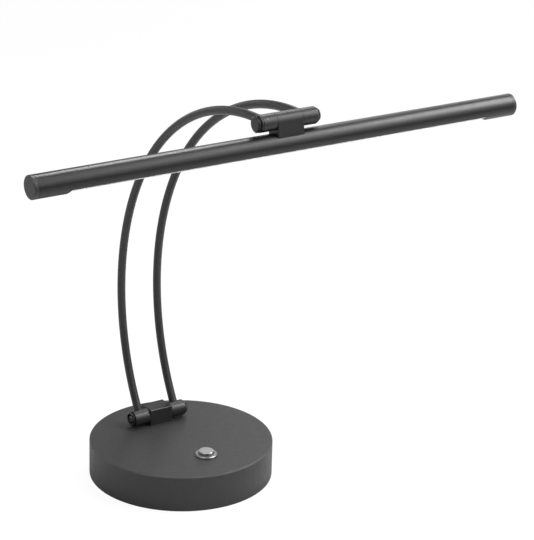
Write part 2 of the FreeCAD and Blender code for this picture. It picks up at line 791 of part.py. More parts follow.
def make_lower_hinge():
    start = lower_half + washer_thickness
    rim = rim_corners(rod_x + lower_neck_reach, rod_x + lower_rim_reach, lower_barrel_end)
    taper = [(lower_barrel_end - lower_taper, barrel_radius), (lower_barrel_end, lower_face_radius)]
    right = end_barrel(start, lower_barrel_end, taper)
    left = mirrored(end_barrel(start, lower_barrel_end, rim))
    parts["lower_right_barrel"] = at_lower(lower_sockets(right, rod_x))
    parts["lower_left_barrel"] = at_lower(lower_sockets(left, -rod_x))
    end = axle_end(lower_barrel_end)
    parts["lower_axle"] = at_lower(axle(end, end, 0).cut(lead_slot(lower_angle, 1)))
    parts["lower_friction_washers"] = at_lower(friction_washers(lower_half))
    screw = end_screw(lower_barrel_end)
    parts["lower_end_screws"] = at_lower(group([screw, mirrored(screw)]))
    dished = dished_washer(lower_barrel_end - recess_depth, recess_radius - spring_side_play,
                           m4_thread + screw_hole_play, 1)
    parts["lower_spring_washers"] = at_lower(group([dished, mirrored(dished)]))


# ---- upper hinge ----
def at_upper(shape):
    return moved(shape, 0, upper_axis_y, upper_axis_z)


def left_barrel():
    """Barrel of the left rod with a pocket for the disc springs. Built on the right."""
    start = upper_half + washer_thickness
    bore = axle_radius + running_fit
    edge = barrel_inner_edge
    shoulder = barrel_radius - edge
    return turned_x([(start, bore), (start, shoulder), (start + edge, barrel_radius),
                     (left_barrel_end - edge, barrel_radius), (left_barrel_end, shoulder),
                     (left_barrel_end, spring_pocket_radius), (spring_pocket_floor, spring_pocket_radius),
                     (spring_pocket_floor, bore)])


def tension_nut():
    """Nut with a spigot that presses on the disc springs, a neck and a conical rim. Built on the right."""
    start = left_barrel_end + tension_nut_gap
    bore = axle_radius + running_fit
    spigot = spring_pocket_radius - close_fit
    end = upper_barrel_end
    floor = end - tension_floor
    rim = rim_corners(rod_x + tension_neck_reach, rod_x + tension_rim_reach, end)
    inner_corners = [(left_barrel_end, bore), (left_barrel_end, spigot), (start, spigot),
                     (start, barrel_radius - barrel_inner_edge), (start + barrel_inner_edge, barrel_radius)]
    return turned_x(inner_corners + rim + [(end, 0), (floor, 0), (floor, bore)])


def disc_springs():
    springs = []
    for i in range(disc_spring_count):
        springs.append(dished_washer(spring_pocket_floor + i * spring_pitch,
                                     spring_pocket_radius - spring_side_play,
                                     axle_radius + screw_hole_play, 1 if i % 2 == 0 else -1))
    return group(springs)


def make_upper_hinge():
    start = upper_half + washer_thickness
    taper = [(upper_barrel_end - upper_taper, barrel_radius), (upper_barrel_end, upper_face_radius)]
    right = end_barrel(start, upper_barrel_end, taper)
    parts["upper_right_barrel"] = at_upper(upper_sockets(right, rod_x, grub_x, upper_right_grub_angle))
    left = mirrored(left_barrel())
    parts["upper_left_barrel"] = at_upper(upper_sockets(left, -rod_x, -grub_x, upper_left_grub_angle))
    left_end = upper_barrel_end - tension_floor - axle_end_gap
    mouth_angle = -head_tilt - (head_turn_forward - head_turn_back) / 2
    bar = axle(left_end, axle_end(upper_barrel_end), mouth_angle)
    parts["upper_axle"] = at_upper(bar.cut(lead_slot(upper_angle, -1)))
    parts["upper_friction_washers"] = at_upper(friction_washers(upper_half))
    parts["tension_nut"] = at_upper(mirrored(tension_nut()))
    parts["disc_springs"] = at_upper(mirrored(disc_springs()))
    parts["upper_end_screw"] = at_upper(end_screw(upper_barrel_end))
    dished = dished_washer(upper_barrel_end - recess_depth, recess_radius - spring_side_play,
                           m4_thread + screw_hole_play, 1)
    parts["upper_spring_washer"] = at_upper(dished)


def make_arm():
    make_lower_hinge()
    make_upper_hinge()
    grubs = [at_upper(grub(-grub_x, upper_left_grub_angle, m2_thread)),
             at_upper(grub(grub_x, upper_right_grub_angle, m2_thread))]
    grubs += [at_lower(grub(x, lower_grub_angle, m3_thread)) for x in (-rod_x, rod_x)]
    parts["barrel_grub_screws"] = group(grubs)
    gap = axle_radius + rod_end_gap
    for name, x in (("left_arm_rod", -rod_x), ("right_arm_rod", rod_x)):
        rod = bow(rod_radius, x, gap, gap)
        parts[name] = rod.cut(bow(rod_radius - rod_wall, x, 0, 0))
    parts["arm_lead"] = arm_lead()


def arm_lead():
    """Lead from the middle of the lower axle, up through the right rod, to the middle of the upper axle."""
    start = lower_angle + lead_bend / rod_bow_radius
    end = upper_angle - lead_bend / rod_bow_radius
    x_in = rod_x - lead_bend
    side = Vector(1, 0, 0)
    low = arc_point(start, rod_x)
    low_along = arc_tangent(start)
    low_corner = low - low_along * lead_bend
    high = arc_point(end, rod_x)
    high_along = arc_tangent(end)
    high_corner = high + high_along * lead_bend
    slack = lead_bend * (1 - math.sin(math.radians(45)))
    low_middle = low_corner - side * slack + low_along * slack
    high_middle = high_corner - side * slack - high_along * slack
    low_middle_x = Vector(0, low_corner.y, low_corner.z)
    low_turn = Vector(x_in, low_corner.y, low_corner.z)
    high_turn = Vector(x_in, high_corner.y, high_corner.z)
    high_middle_x = Vector(0, high_corner.y, high_corner.z)
    edges = [Part.makeLine(low_middle_x, low_turn),
             Part.Arc(low_turn, low_middle, low).toShape(),
             Part.Arc(low, arc_point((start + end) / 2, rod_x), high).toShape(),
             Part.Arc(high, high_middle, high_turn).toShape(),
             Part.makeLine(high_turn, high_middle_x)]
    return swept(edges, lead_radius)


# ---- lamp head ----
def on_head(shape):
    """Carry a piece from the head's own frame to its place on the lamp."""
    copy = shape.copy()
    copy.rotate(Vector(0, 0, 0), Vector(1, 0, 0), -head_tilt)
    return at_upper(copy)


def in_tube(shape):
    """Carry a piece from the tube's axis to the head's own frame."""
    return moved(shape, 0, 0, -tube_drop)


def underside_cutter():
    """What is taken off the tube's underside: a long flat with a ramp at each end."""
    low = -tube_radius - beyond
    run = (low + flat_depth) / -math.tan(math.radians(ramp_angle))
    points = [Vector(-flat_half - run, 0, low), Vector(-flat_half, 0, -flat_depth),
              Vector(flat_half, 0, -flat_depth), Vector(flat_half + run, 0, low)]
    face = Part.Face(Part.makePolygon(points + points[:1]))
    half_width = tube_radius + beyond
    cutter = moved(face, 0, -half_width, 0).extrude(Vector(0, 2 * half_width, 0))
    corners = [e for e in cutter.Edges
               if e.BoundBox.XLength < tiny and abs(e.CenterOfMass.z + flat_depth) < tiny]
    return cutter.makeFillet(ramp_fillet, corners)


def upper_hinge_block():
    knuckle = disc(barrel_radius, upper_block_width, (-upper_half, 0, 0), (1, 0, 0))
    foot = block((-upper_half, -barrel_radius, -tube_drop), (upper_half, barrel_radius, 0))
    body = knuckle.fuse(foot).removeSplitter()
    start = -upper_half - beyond
    through = upper_block_width + 2 * beyond
    cuts = [disc(tube_radius + running_fit, through, (start, 0, -tube_drop), (1, 0, 0)),
            disc(axle_radius + running_fit, through, (start, 0, 0), (1, 0, 0)),
            disc(lead_radius + lead_play, tube_drop, (-lead_bend, 0, -tube_drop))]
    for x in saddle_screw_places:
        cuts.append(disc(m4_thread + close_fit, saddle_screw_length + saddle_screw_room,
                         (x, 0, -tube_drop + clamp_bar_flat)))
    return body.cut(group(cuts))


def saddle_clamp_bar():
    bar = disc(tube_bore - close_fit, clamp_bar_length, (-clamp_bar_length / 2, 0, 0), (1, 0, 0))
    bar = bar.cut(block((-clamp_bar_length, -tube_radius, -tube_radius),
                        (clamp_bar_length, tube_radius, clamp_bar_flat)))
    cuts = [disc(m4_thread + screw_hole_play, tube_radius, (x, 0, 0)) for x in saddle_screw_places]
    cuts.append(disc(lead_radius + lead_play, tube_radius, (-lead_bend, 0, 0)))
    return in_tube(bar.cut(group(cuts)))


def saddle_screws():
    screw = pan_screw(m4_thread, m4_head_radius, m4_head_height, saddle_screw_length)
    return in_tube(group([aimed(screw, (x, 0, clamp_bar_flat), (0, 0, -1)) for x in saddle_screw_places]))


def head_tube():
    shoulder = tube_radius - tube_edge
    tube = turned_x([(-tube_half, tube_bore), (tube_half, tube_bore), (tube_half, shoulder),
                     (tube_half - tube_edge, tube_radius), (-tube_half + tube_edge, tube_radius),
                     (-tube_half, shoulder)])
    above = tube_radius + beyond
    cuts = [underside_cutter(), disc(lead_radius + lead_play, above, (-lead_bend, 0, 0))]
    for x in saddle_screw_places:
        cuts.append(disc(m4_thread + screw_hole_play, above, (x, 0, 0)))
    return in_tube(tube.cut(group(cuts)))


def end_cap():
    """Moulded end piece on the right: flange flush with the tube, plug that fills its round end."""
    end = lamp_length / 2
    plug = tube_bore - close_fit
    groove_x = end - cap_groove_at
    body = turned_x([(plug_end, 0), (plug_end, plug), (tube_half, plug), (tube_half, tube_radius - tube_edge),
                     (tube_half + tube_edge, tube_radius), (groove_x - cap_groove, tube_radius),
                     (groove_x - cap_groove / 2, tube_radius - cap_groove / 2), (groove_x, tube_radius),
                     (end - cap_edge, tube_radius), (end, tube_radius - cap_edge), (end, 0)])
    return in_tube(body.cut(underside_cutter()))


def carrier_profile():
    w = carrier_half_width
    half = [(carrier_rib_inner, -carrier_top), (carrier_rib_inner, carrier_rib_top),
            (carrier_rib_outer, carrier_rib_top), (carrier_rib_outer, -carrier_top), (w, -carrier_top),
            (w, -carrier_bottom)]
    return half + [(-y, z) for y, z in reversed(half)]


def along_tube(profile, half_length):
    """Extrusion along the tube from (y, z) corners about the tube's axis."""
    points = [Vector(-half_length, y, z) for y, z in profile]
    face = Part.Face(Part.makePolygon(points + points[:1]))
    return face.extrude(Vector(2 * half_length, 0, 0))


def led_carrier():
    bar = along_tube(carrier_profile(), strip_half)
    low = -carrier_bottom - beyond
    through = carrier_thickness + 2 * beyond
    cuts = [block((-carrier_gap_half, -tube_radius, -carrier_top),
                  (carrier_gap_half, tube_radius, tube_radius)),
            disc(lead_radius + lead_play, through, (-lead_bend, 0, low))]
    cuts += [disc(m2_thread + close_fit, through, (x, 0, low)) for x in led_screw_places]
    return in_tube(bar.cut(group(cuts)))


def led_board():
    w = led_board_half_width
    board = block((-strip_half, -w, -led_board_bottom), (strip_half, w, -carrier_bottom))
    cuts = [disc(m2_thread + screw_hole_play, led_board_thickness + 2 * beyond,
                 (x, 0, -led_board_bottom - beyond)) for x in led_screw_places]
    return in_tube(board.cut(group(cuts)))


def led_chips():
    half = led_size / 2
    chips = []
    for i in range(-led_half_count, led_half_count):
        x = (i + 0.5) * led_pitch
        chips.append(block((x - half, -half, -led_board_bottom - led_height),
                           (x + half, half, -led_board_bottom)))
    return in_tube(group(chips))


def led_board_screws():
    length = led_board_thickness + carrier_thickness
    screw = pan_screw(m2_thread, m2_head_radius, m2_head_height, length)
    screws = [aimed(screw, (x, 0, -led_board_bottom), (0, 0, -1)) for x in led_screw_places]
    return in_tube(group(screws))


def diffuser():
    """Opal strip: a bowed face below the flat, a neck between the tube's edges and hooks behind them."""
    top = -led_board_bottom - diffuser_top_gap
    flat = -flat_depth
    outer_radius = (diffuser_half_width ** 2 + diffuser_rise ** 2) / (2 * diffuser_rise)
    inner_half = diffuser_neck_half - diffuser_wall
    inner_radius = outer_radius - diffuser_wall
    centre_z = flat - diffuser_rise + outer_radius
    inner_start = centre_z - math.sqrt(inner_radius ** 2 - inner_half ** 2)
    side = [(-diffuser_half_width, flat), (-diffuser_neck_half, flat),
            (-diffuser_neck_half, -diffuser_hook_low), (-diffuser_hook_half, -diffuser_hook_low),
            (-diffuser_hook_half, top), (-inner_half, top), (-inner_half, inner_start)]
    left = [Vector(-strip_half, y, z) for y, z in side]
    right = [Vector(-strip_half, -y, z) for y, z in reversed(side)]
    inner_arc = Part.Arc(left[-1], Vector(-strip_half, 0, centre_z - inner_radius), right[0]).toShape()
    outer_arc = Part.Arc(right[-1], Vector(-strip_half, 0, centre_z - outer_radius), left[0]).toShape()
    left_side = Part.makePolygon(left).Edges
    right_side = Part.makePolygon(right).Edges
    wire = Part.Wire(left_side + [inner_arc] + right_side + [outer_arc])
    return in_tube(Part.Face(wire).extrude(Vector(2 * strip_half, 0, 0)))


def head_lead():
    end = -tube_drop - carrier_bottom
    return lead([(0, 0, 0), (-lead_bend, 0, 0), (-lead_bend, 0, end)], lead_radius)


def make_head():
    cap = end_cap()
    head = {
        "upper_hinge_block": upper_hinge_block(), "saddle_clamp_bar": saddle_clamp_bar(),
        "saddle_screws": saddle_screws(), "head_tube": head_tube(), "right_end_cap": cap,
        "left_end_cap": mirrored(cap), "led_carrier": led_carrier(), "led_board": led_board(),
        "led_chips": led_chips(), "led_board_screws": led_board_screws(), "diffuser": diffuser(),
        "head_lead": head_lead(),
    }
    for name, shape in head.items():
        parts[name] = on_head(shape)


def make_base():
    for maker in (base_cover, base_weight, weight_screws, base_plate, base_plate_screws, base_pad,
                  cable_grommet, button_bezel, button_cap, button_spring, button_nut, switch_housing,
                  switch_leads, driver_board, board_standoffs, board_screws, base_lead,
                  lower_hinge_block, lower_hinge_screws):
        parts[maker.__name__] = maker()


make_base()
make_arm()
make_head()

os.makedirs("parts", exist_ok=True)
for name, shape in parts.items():
    shape.exportStep("parts/" + name + ".step")
    print(name, "solids", len(shape.Solids), "valid", shape.isValid(), "volume", round(shape.Volume, 1))
print(len(parts), "nodes")
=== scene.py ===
import json
import math

import bmesh
import bpy
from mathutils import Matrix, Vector


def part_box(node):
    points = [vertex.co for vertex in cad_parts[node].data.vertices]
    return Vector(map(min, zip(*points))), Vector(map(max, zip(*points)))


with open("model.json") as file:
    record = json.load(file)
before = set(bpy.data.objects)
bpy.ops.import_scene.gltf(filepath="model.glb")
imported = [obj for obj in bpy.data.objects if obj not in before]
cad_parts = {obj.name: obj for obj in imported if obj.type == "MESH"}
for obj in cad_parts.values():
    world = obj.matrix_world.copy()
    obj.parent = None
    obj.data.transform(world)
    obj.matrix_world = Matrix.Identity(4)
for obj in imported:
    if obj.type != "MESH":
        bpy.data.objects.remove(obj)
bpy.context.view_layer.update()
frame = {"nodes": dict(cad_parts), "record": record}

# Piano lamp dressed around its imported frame. Metres, +Z up, the lamp's front towards -Y.
mm = 0.001
pureWhite = (1, 1, 1, 1)
nodes = frame["nodes"]
slotOf = {part["node"]: part["material_slot"] for part in frame["record"]["subparts"]}


# shared helpers
def toLinear(hexColour):
    # from an sRGB hex colour to linear red, green, blue and alpha
    channels = [int(hexColour[i:i + 2], 16) / 255 for i in (1, 3, 5)]
    linear = [c / 12.92 if c <= 0.04045 else ((c + 0.055) / 1.055) ** 2.4 for c in channels]
    return (*linear, 1.0)


def addNode(material, kind, inputs=None, **settings):
    # an input is a plain value or another node's output socket
    node = material.node_tree.nodes.new(kind)
    for name, value in settings.items():
        setattr(node, name, value)
    for socket, value in (inputs or {}).items():
        if isinstance(value, bpy.types.NodeSocket):
            material.node_tree.links.new(value, node.inputs[socket])
        else:
            node.inputs[socket].default_value = value
    return node


def newMaterial(name):
    material = bpy.data.materials.new(name)
    material.use_nodes = True
    material.node_tree.nodes.clear()
    return material


def finishMaterial(material, shader):
    output = addNode(material, "ShaderNodeOutputMaterial")
    material.node_tree.links.new(shader, output.inputs["Surface"])
    return material


# camera
cameraSetup = {
    "place": (-0.991960, -1.588901, 0.919636),   # metres
    "turn": (69.3394, -1.5612, -33.8231),        # degrees about X, Y, Z
    "lens": 139.865,                             # mm on a 36 mm sensor
    "farthest": 20,                              # metres
}


def makeCamera(setup):
    data = bpy.data.cameras.new("camera")
    data.lens = setup["lens"]
    data.clip_end = setup["farthest"]
    camera = bpy.data.objects.new("camera", data)
    camera.location = setup["place"]
    camera.rotation_euler = [math.radians(angle) for angle in setup["turn"]]
    bpy.context.scene.collection.objects.link(camera)
    bpy.context.scene.camera = camera


makeCamera(cameraSetup)
print("camera placed")

# studio: white paper below, softboxes round the lamp
studioSetup = {
    "worldLevel": 0.02,         # soft light from all round
    "backdropLevel": 0.95,      # how bright the backdrop looks beyond the floor, about as its far end does
    "sheenLevel": 0.15,         # how bright the pale surroundings look in gloss and metal, white being 1
    "floorColour": "#f2f2f2",
    "floorRoughness": 0.9,
    "floorSheen": 0.2,          # the shader's Specular IOR Level, 0.5 being usual
    "floorSize": 12.0,          # metres
    "whiteShare": 0.86,         # how much of the floor's look is plain white; the rest keeps the shadow
    "whiteLevel": 1.08,         # how bright that white is, so that the bare floor reads as paper white
    "aim": (0.0, -0.05, 0.25),  # every softbox points here
    "lights": [                 # name, place and side in metres, power in watts
        ("keyLight", (0.75, -0.30, 0.90), 0.5, 6.8),
        ("frontLight", (1.30, -1.35, 1.79), 1.0, 10.8),
        ("lowFrontLight", (1.10, -1.93, 1.26), 1.4, 9.3),
        ("highFrontLight", (1.00, -0.70, 2.33), 1.0, 6.7),
        ("leftLight", (-0.60, -0.20, 0.90), 0.5, 2.8),
        ("topLight", (0.30, 0.35, 1.10), 0.3, 3.6),
        ("backRightLight", (1.30, 1.25, 1.79), 1.0, 4.4),
        ("lowRightLight", (1.66, 1.61, 0.75), 1.0, 4.6),
        ("lowLeftLight", (-1.66, 1.61, 0.75), 1.0, 6.6),
        ("backLight", (0.0, 2.30, 0.75), 1.0, 4.6),
    ],
}


def makeLight(name, place, side, watts, aim):
    data = bpy.data.lights.new(name, "AREA")
    data.size = side
    data.energy = watts
    light = bpy.data.objects.new(name, data)
    light.location = place
    light.rotation_euler = (Vector(aim) - Vector(place)).to_track_quat("-Z", "Y").to_euler()
    bpy.context.scene.collection.objects.link(light)


def seenWhite(holder, cameraShare, sheenShare):
    # how white the surroundings look: one share seen straight, the other in gloss, metal or glass
    path = addNode(holder, "ShaderNodeLightPath")
    mirrored = addNode(holder, "ShaderNodeMath", {
        0: path.outputs["Is Glossy Ray"], 1: path.outputs["Is Transmission Ray"]}, operation="MAXIMUM")
    inSheen = addNode(holder, "ShaderNodeMath", {
        0: mirrored.outputs[0], 1: sheenShare}, operation="MULTIPLY")
    straight = addNode(holder, "ShaderNodeMath", {
        0: path.outputs["Is Camera Ray"], 1: cameraShare}, operation="MULTIPLY")
    return addNode(holder, "ShaderNodeMath", {
        0: inSheen.outputs[0], 1: straight.outputs[0]}, operation="MAXIMUM").outputs[0]


def makeWorld(setup):
    world = bpy.data.worlds.new("studioWorld")
    bpy.context.scene.world = world
    world.use_nodes = True
    world.node_tree.nodes.clear()
    seen = seenWhite(world, setup["backdropLevel"], setup["sheenLevel"])
    strength = addNode(world, "ShaderNodeMath", {0: seen, 1: setup["worldLevel"]}, operation="MAXIMUM")
    background = addNode(world, "ShaderNodeBackground", {
        "Color": pureWhite, "Strength": strength.outputs[0]})
    output = addNode(world, "ShaderNodeOutputWorld")
    world.node_tree.links.new(background.outputs[0], output.inputs["Surface"])


def makeFloor(setup):
    bm = bmesh.new()
    bmesh.ops.create_grid(bm, x_segments=1, y_segments=1, size=setup["floorSize"] / 2)
    mesh = bpy.data.meshes.new("floor")
    bm.to_mesh(mesh)
    bm.free()
    floor = bpy.data.objects.new("floor", mesh)
    bpy.context.scene.collection.objects.link(floor)
    paper = newMaterial("seamlessStudioPaper")   # matt paper: plain and white, with hardly any sheen
    matt = addNode(paper, "ShaderNodeBsdfPrincipled", {
        "Base Color": toLinear(setup["floorColour"]), "Roughness": setup["floorRoughness"],
        "Specular IOR Level": setup["floorSheen"]})
    seen = seenWhite(paper, setup["whiteShare"], setup["whiteShare"] * setup["sheenLevel"])
    white = addNode(paper, "ShaderNodeEmission", {"Color": pureWhite, "Strength": setup["whiteLevel"]})
    surface = addNode(paper, "ShaderNodeMixShader", {0: seen, 1: matt.outputs[0], 2: white.outputs[0]})
    floor.data.materials.append(finishMaterial(paper, surface.outputs[0]))


def makeStudio(setup):
    makeWorld(setup)
    makeFloor(setup)
    for light in setup["lights"]:
        makeLight(*light, setup["aim"])
    bpy.context.scene.view_settings.view_transform = "Standard"


makeStudio(studioSetup)
print("studio lit")

# finishes: what a user would change, in millimetres and sRGB colours. A finish wavers between its tones
# "low" and "high", its corner tone is painted edge light (darker than the finish only on the white LED
# board), and "edge" is the radius by which a corner looks rounded
# real powder grit is 0.3 to 0.5 mm; "grit" is coarser here, so that it still shows from two metres away
coats = {
    # polyester powder baked on steel: fine grit that spreads each highlight into a soft sheen, and a painted
    # highlight along the curved top edge
    "housing_coat": {"name": "texturedPowderCoatOnSteel", "low": "#2b2b2b", "high": "#3a3a3a",
                     "rim": "#606060", "grit": 0.8, "gritDepth": 0.030, "peel": 6.0, "peelDepth": 0.02,
                     "roughness": 0.50, "edge": 0.5, "rolledEdgeHighlight": "#4a4a4a"},
    # the same powder on small machined blocks and barrels: a thinner, smoother coat
    "hinge_coat": {"name": "smoothPowderCoatOnMachinedSteel", "low": "#242424", "high": "#2f2f2f",
                   "rim": "#404040", "grit": 0.7, "gritDepth": 0.024, "peel": 4.0, "peelDepth": 0.015,
                   "roughness": 0.36, "edge": 0.3},
    # on drawn tube: an even speckle of paler grit over a dark coat
    "rod_coat": {"name": "powderCoatOnDrawnTube", "low": "#202020", "high": "#3c3c3c",
                 "rim": "#484848", "grit": 0.7, "gritDepth": 0.030, "peel": 5.0, "peelDepth": 0.015,
                 "roughness": 0.42, "edge": 0.2},
    # on extruded aluminium: the glossiest of the coats, with a clear satin line along the tube
    "tube_coat": {"name": "satinPowderCoatOnAluminium", "low": "#191919", "high": "#232323",
                  "rim": "#585858", "grit": 0.8, "gritDepth": 0.045, "peel": 5.0, "peelDepth": 0.012,
                  "roughness": 0.34, "edge": 0.2},
}
mouldings = {
    # moulded ABS end caps: the mould's spark-eroded texture, drawn coarse so that it shows, and a painted
    # highlight on the edges
    "cap_plastic": {"name": "mouldedAbsCap", "low": "#2b2b2b", "high": "#353535", "rim": "#787878",
                    "grain": 0.9, "depth": 0.040, "roughness": 0.38, "ior": 1.54, "edge": 0.3},
    # injection-moulded nylon: dark and slightly waxy, with faint flow marks
    "washer_nylon": {"name": "mouldedNylonWasher", "low": "#161616", "high": "#1e1e1e", "rim": "#2a2a2a",
                     "grain": 0.4, "depth": 0.006, "roughness": 0.45, "ior": 1.53, "edge": 0.1},
    # nylon again, with a slightly rougher skin
    "switch_plastic": {"name": "mouldedNylonHousing", "low": "#141414", "high": "#1c1c1c", "rim": "#2c2c2c",
                       "grain": 0.6, "depth": 0.010, "roughness": 0.50, "ior": 1.53, "edge": 0.2},
    # foamed rubber sheet: open matt skin with small cells
    "pad_rubber": {"name": "foamedRubberSheet", "low": "#0f0f0f", "high": "#1d1d1d", "rim": "#202020",
                   "grain": 1.1, "depth": 0.120, "roughness": 0.92, "ior": 1.52, "edge": 0.2},
    # compression-moulded rubber: matt and even, with a painted highlight on the edges
    "grommet_rubber": {"name": "mouldedRubberGrommet", "low": "#121212", "high": "#1b1b1b", "rim": "#2b2b2b",
                       "grain": 0.5, "depth": 0.012, "roughness": 0.72, "ior": 1.52, "edge": 0.4},
    # extruded silicone insulation: soft sheen, slightly wavy skin
    "lead_plastic": {"name": "extrudedSiliconeInsulation", "low": "#191919", "high": "#222222",
                     "rim": "#222222", "grain": 2.5, "depth": 0.020, "roughness": 0.55, "ior": 1.41,
                     "edge": 0.1},
    # silicone resin filled with phosphor: cloudy yellow, with a soft gloss
    "led_resin": {"name": "phosphorResin", "low": "#c99a35", "high": "#e2b94f", "rim": "#efd27a",
                  "grain": 0.3, "depth": 0.010, "roughness": 0.30, "ior": 1.41, "edge": 0.2},
    # white solder mask on the aluminium LED board: flat white with a little gloss
    "led_laminate": {"name": "whiteSolderMask", "low": "#dedfdb", "high": "#ececea", "rim": "#c9c9c6",
                     "grain": 1.5, "depth": 0.004, "roughness": 0.35, "ior": 1.50, "edge": 0.1},
}
metals = {
    # turned and ground steel: fine tool lines round the X axis
    "steel_bright": {"name": "turnedBrightSteel", "low": "#9a9b9c", "high": "#c6c7c8",
                     "stretch": (8.0, 0.4, 0.4), "pitch": 0.25, "depth": 0.004, "roughness": 0.28,
                     "edge": 0.1},
    # steel screws blackened in hot salts: dark, with a painted highlight on the corners
    "steel_screw": {"name": "blackenedSteelScrew", "low": "#5a5a5b", "high": "#767778",
                    "stretch": (1.0, 1.0, 1.0), "pitch": 0.5, "depth": 0.004, "roughness": 0.38,
                    "edge": 0.12},
    # zinc-plated sheet: pale, with a faint cloudy bloom
    "plate_zinc": {"name": "zincPlatedSheet", "low": "#9da2a6", "high": "#bfc3c6",
                   "stretch": (1.0, 1.0, 1.0), "pitch": 4.0, "depth": 0.010, "roughness": 0.42,
                   "edge": 0.2},
    # sand-cast iron: dark grey skin with the mould's sand grain
    "cast_iron": {"name": "sandCastIron", "low": "#353433", "high": "#504f4d",
                  "stretch": (1.0, 1.0, 1.0), "pitch": 1.2, "depth": 0.180, "roughness": 0.68,
                  "edge": 0.5},
    # plain extruded aluminium: long die lines along the tube
    "carrier_aluminium": {"name": "extrudedAluminium", "low": "#a9abad", "high": "#c9cacc",
                          "stretch": (0.02, 1.0, 1.0), "pitch": 0.4, "depth": 0.006, "roughness": 0.35,
                          "edge": 0.1},
    # satin chrome plate on brass: the finely blasted skin blurs what it mirrors
    "button_chrome": {"name": "satinChromePlate", "low": "#88898a", "high": "#9a9b9c",
                      "stretch": (1.0, 1.0, 1.0), "pitch": 3.0, "depth": 0.003, "roughness": 0.42,
                      "edge": 0.3},
}

# what several finishes share
noise = {
    "low": 0.3,           # most of a noise texture's values lie between low and high
    "high": 0.7,
    "fineShare": 0.6,     # how much its finer steps count against its coarser ones
}
waver = {"powder": 0.03, "moulding": 0.05, "metal": 0.05}     # how far roughness strays either way
powder = {"roundness": 0.6, "ior": 1.5}                       # of the grains, and of the resin
metalCloud = 12.0                                             # mm, patches of more and less gloss
corners = {
    "samples": 6,
    "plain": 0.995,       # cosine between true and rounded normal where a corner begins to show
    "full": 0.86,         # and where it shows fully
}
rolledLean = {            # where the painted highlight on the housing's top edge lies: how far the normal points up, from 0 on the housing's side to 1 on its top
    "begins": 0.05,
    "fullFrom": 0.3,
    "fullTo": 0.93,
    "ends": 0.99,
}


# materials
def softEdge(material, look):
    # rounded corner normals, and how strongly a point lies on a corner, which is where the corner tones are
    # painted
    soft = addNode(material, "ShaderNodeBevel", {
        "Radius": look["edge"] * mm}, samples=corners["samples"]).outputs[0]
    flat = addNode(material, "ShaderNodeNewGeometry").outputs["Normal"]
    same = addNode(material, "ShaderNodeVectorMath", {0: soft, 1: flat}, operation="DOT_PRODUCT")
    corner = addNode(material, "ShaderNodeMapRange", {
        "Value": same.outputs["Value"], "From Min": corners["plain"], "From Max": corners["full"]})
    return soft, corner.outputs[0]


def layerTones(material, base, layers):
    # the base tone, and over it each layer's own tone, as strongly as the layer's factor says
    colour = toLinear(base)
    for factor, tone in layers:
        mix = addNode(material, "ShaderNodeMix", {0: factor, 6: colour, 7: toLinear(tone)}, data_type="RGBA")
        colour = mix.outputs[2]      # 6, 7 and 2 are the colour sockets of a Mix node
    return colour


def rolledEdgeHighlightMask(material):
    # 1 on the housing's curved top edge, where the surface leans between flat and upright: the band that
    # takes a painted highlight
    facing = addNode(material, "ShaderNodeTexCoord").outputs["Normal"]
    lean = addNode(material, "ShaderNodeSeparateXYZ", {0: facing}).outputs["Z"]
    aboveSide = addNode(material, "ShaderNodeMapRange", {
        "Value": lean, "From Min": rolledLean["begins"], "From Max": rolledLean["fullFrom"]})
    belowTop = addNode(material, "ShaderNodeMapRange", {
        "Value": lean, "From Min": rolledLean["ends"], "From Max": rolledLean["fullTo"]})
    return addNode(material, "ShaderNodeMath", {
        0: aboveSide.outputs[0], 1: belowTop.outputs[0]}, operation="MULTIPLY").outputs[0]


def powderCoat(look):
    material = newMaterial(look["name"])
    place = addNode(material, "ShaderNodeTexCoord").outputs["Object"]
    grit = addNode(material, "ShaderNodeTexVoronoi", {
        "Vector": place, "Scale": 1 / (look["grit"] * mm), "Smoothness": powder["roundness"]},
        feature="SMOOTH_F1")
    speck = addNode(material, "ShaderNodeTexNoise", {
        "Vector": place, "Scale": 1 / (look["grit"] * mm), "Detail": 2.0, "Roughness": noise["fineShare"]})
    peel = addNode(material, "ShaderNodeTexNoise", {
        "Vector": place, "Scale": 1 / (look["peel"] * mm), "Detail": 1.0})
    soft, corner = softEdge(material, look)
    wide = addNode(material, "ShaderNodeBump", {
        "Height": peel.outputs[0], "Distance": look["peelDepth"] * mm, "Normal": soft})
    fine = addNode(material, "ShaderNodeBump", {
        "Height": grit.outputs["Distance"], "Distance": look["gritDepth"] * mm, "Normal": wide.outputs[0]})
    even = addNode(material, "ShaderNodeMapRange", {
        "Value": speck.outputs[0], "From Min": noise["low"], "From Max": noise["high"]})
    layers = [(even.outputs[0], look["high"])]
    if "rolledEdgeHighlight" in look:         # a painted highlight along the housing's curved top edge
        layers.append((rolledEdgeHighlightMask(material), look["rolledEdgeHighlight"]))
    # corners take their painted edge tone, a highlight
    layers.append((corner, look["rim"]))
    rough = addNode(material, "ShaderNodeMapRange", {
        "Value": peel.outputs[0], "From Min": noise["low"], "From Max": noise["high"],
        "To Min": look["roughness"] - waver["powder"], "To Max": look["roughness"] + waver["powder"]})
    shader = addNode(material, "ShaderNodeBsdfPrincipled", {
        "Base Color": layerTones(material, look["low"], layers), "Roughness": rough.outputs[0],
        "IOR": powder["ior"], "Normal": fine.outputs[0]})
    return finishMaterial(material, shader.outputs[0])


